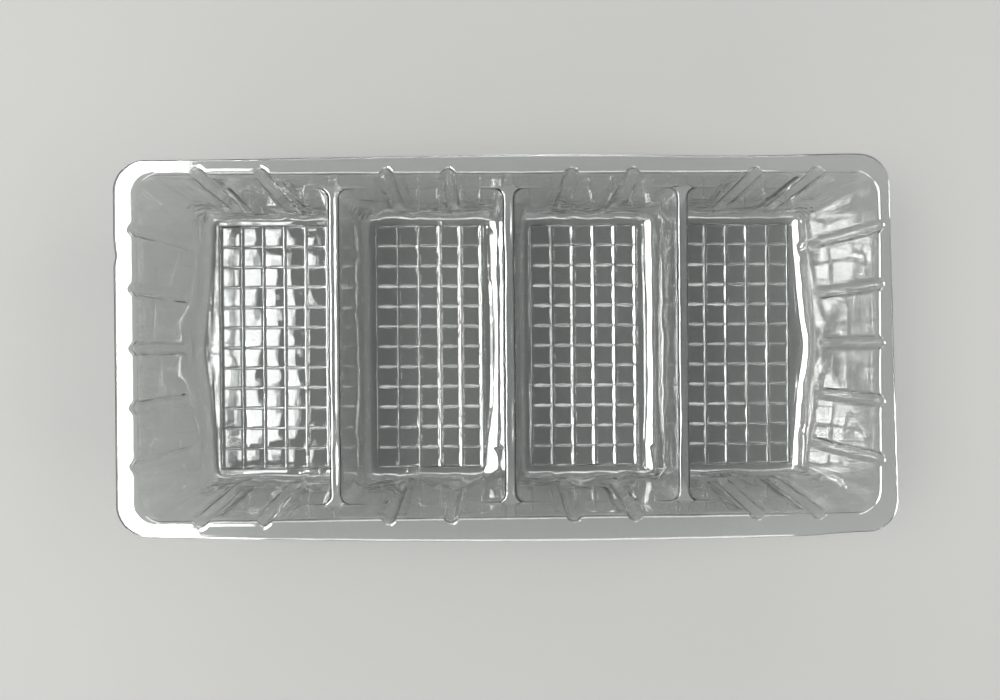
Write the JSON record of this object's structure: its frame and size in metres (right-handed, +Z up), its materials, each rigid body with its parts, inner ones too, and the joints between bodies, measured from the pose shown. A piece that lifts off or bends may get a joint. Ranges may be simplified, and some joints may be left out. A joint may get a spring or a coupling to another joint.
{
  "type": "cookie tray",
  "caption": "Long clear plastic tray with a row of deep compartments, a flat flange, fluted sloping walls and a waffle grid on each floor.",
  "frame": {"origin": "centre of the bounding box at its bottom, on the plane that the undersides of the floors rest on", "axes": "+X along the row of compartments, the longest extent; +Y across the tray; +Z up, out of the open side"},
  "size_m": [0.2036, 0.0996, 0.04],
  "materials": {
    "clear_sheet": "clear colourless thermoformed polyester sheet, smooth and glossy on both faces"
  },
  "bodies": {
    "root": {"tray": "clear_sheet"}
  },
  "joints": []
}
